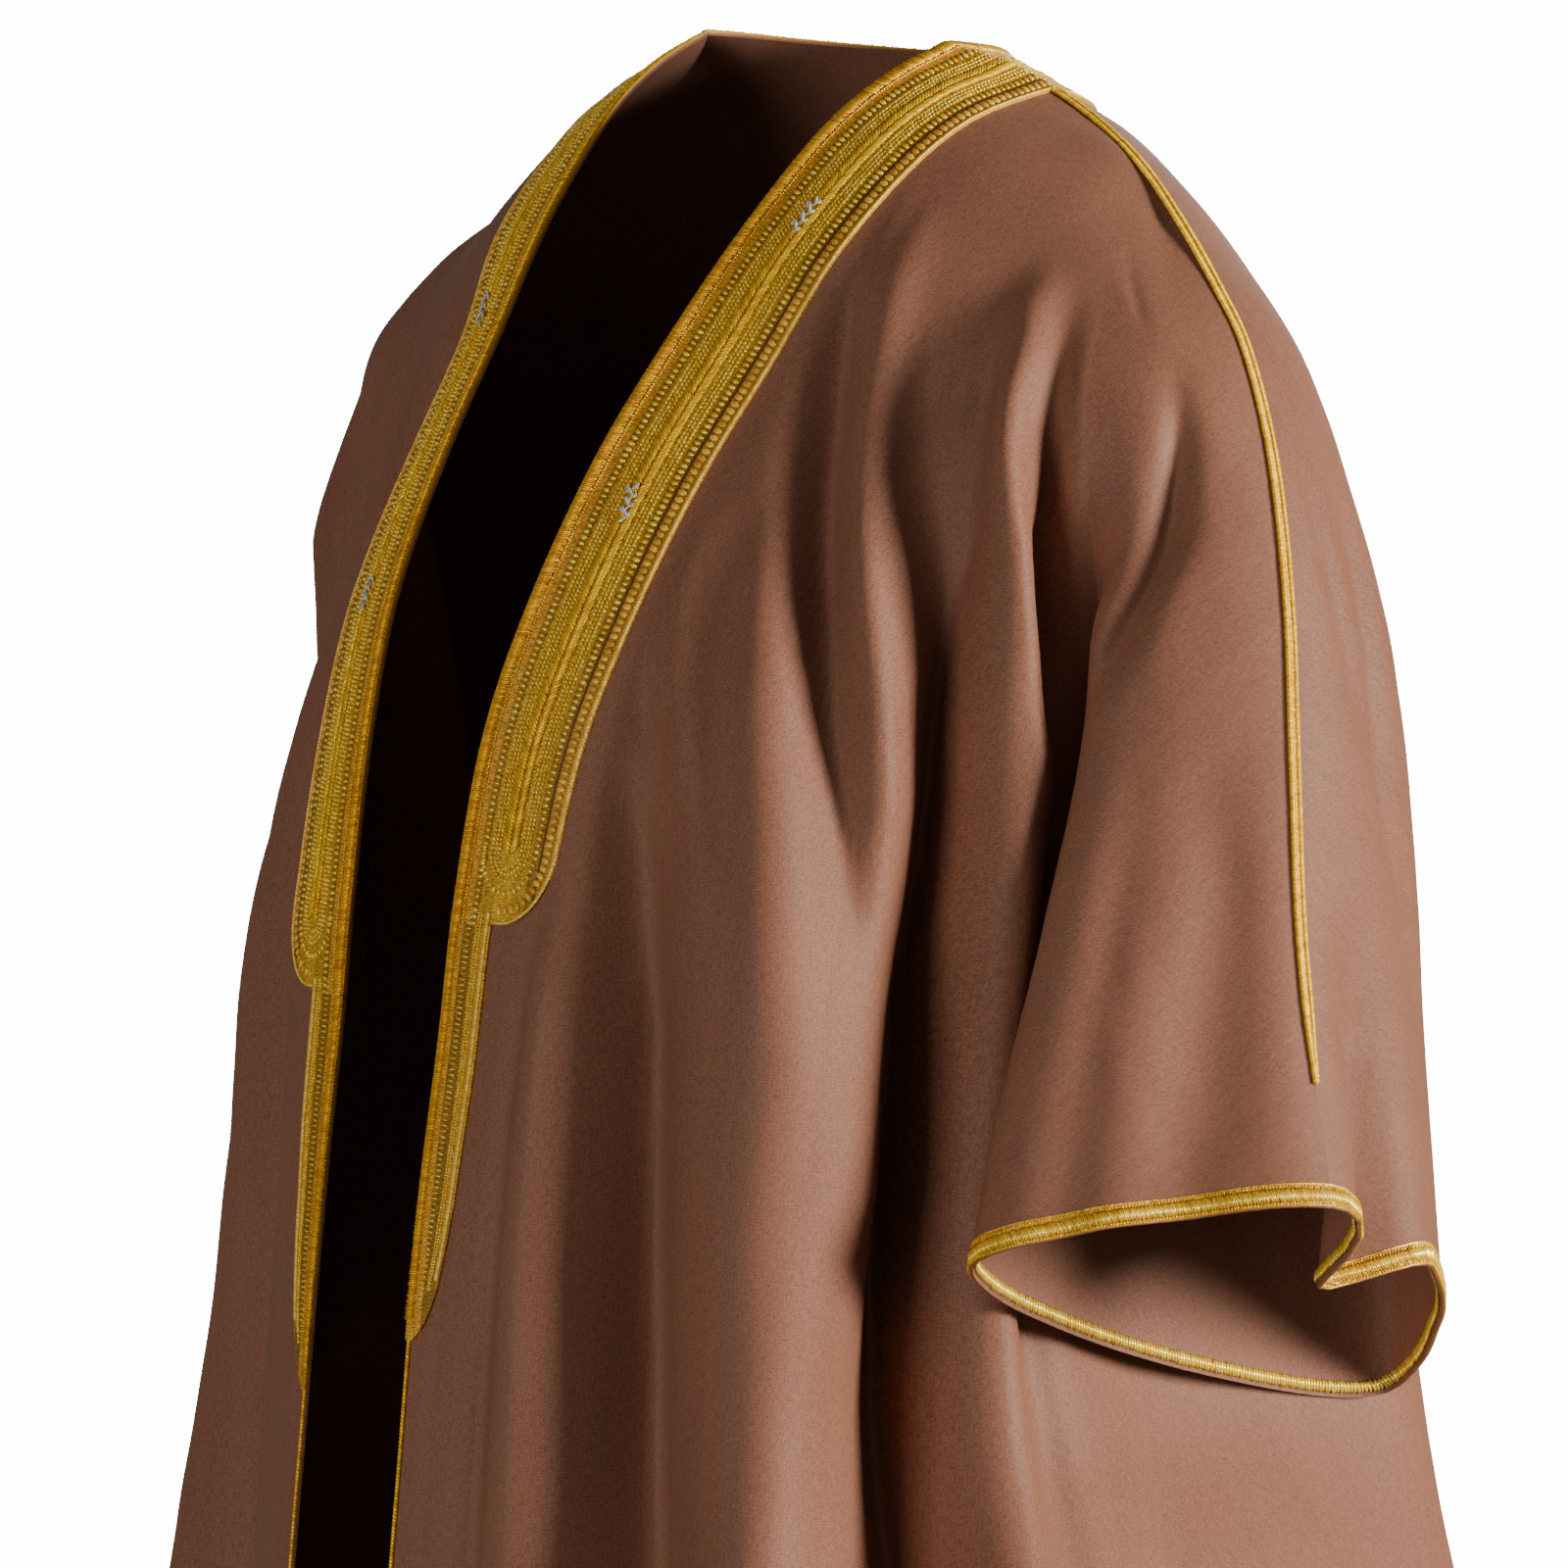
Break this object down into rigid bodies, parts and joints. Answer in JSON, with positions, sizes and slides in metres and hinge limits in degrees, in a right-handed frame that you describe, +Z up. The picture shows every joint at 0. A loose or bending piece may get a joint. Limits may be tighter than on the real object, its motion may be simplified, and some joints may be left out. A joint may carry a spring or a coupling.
{
  "type": "open-fronted robe with gold bands",
  "caption": "Long open-fronted robe in brown satin, half sleeves, gold embroidered neck and front bands, shoulder piping and cuff trim, draped as worn.",
  "frame": {"origin": "on the body's centre line at the height where the robe rests on the shoulders beside the neck", "axes": "+Z up, -Y out of the wearer's chest, +X towards the wearer's left"},
  "size_m": [0.7216, 0.6097, 1.4365],
  "materials": {
    "brown_satin": "soft satin twill",
    "gold_thread": "metallic gold embroidery thread"
  },
  "bodies": {
    "root": {"back": "brown_satin", "front_left": "brown_satin", "front_right": "brown_satin", "neck_band": "gold_thread", "narrow_band_left": "gold_thread", "narrow_band_right": "gold_thread", "edge_cord_left": "gold_thread", "edge_cord_right": "gold_thread", "shoulder_piping_left": "gold_thread", "shoulder_piping_right": "gold_thread", "cuff_trim_left": "gold_thread", "cuff_trim_right": "gold_thread"}
  },
  "joints": []
}
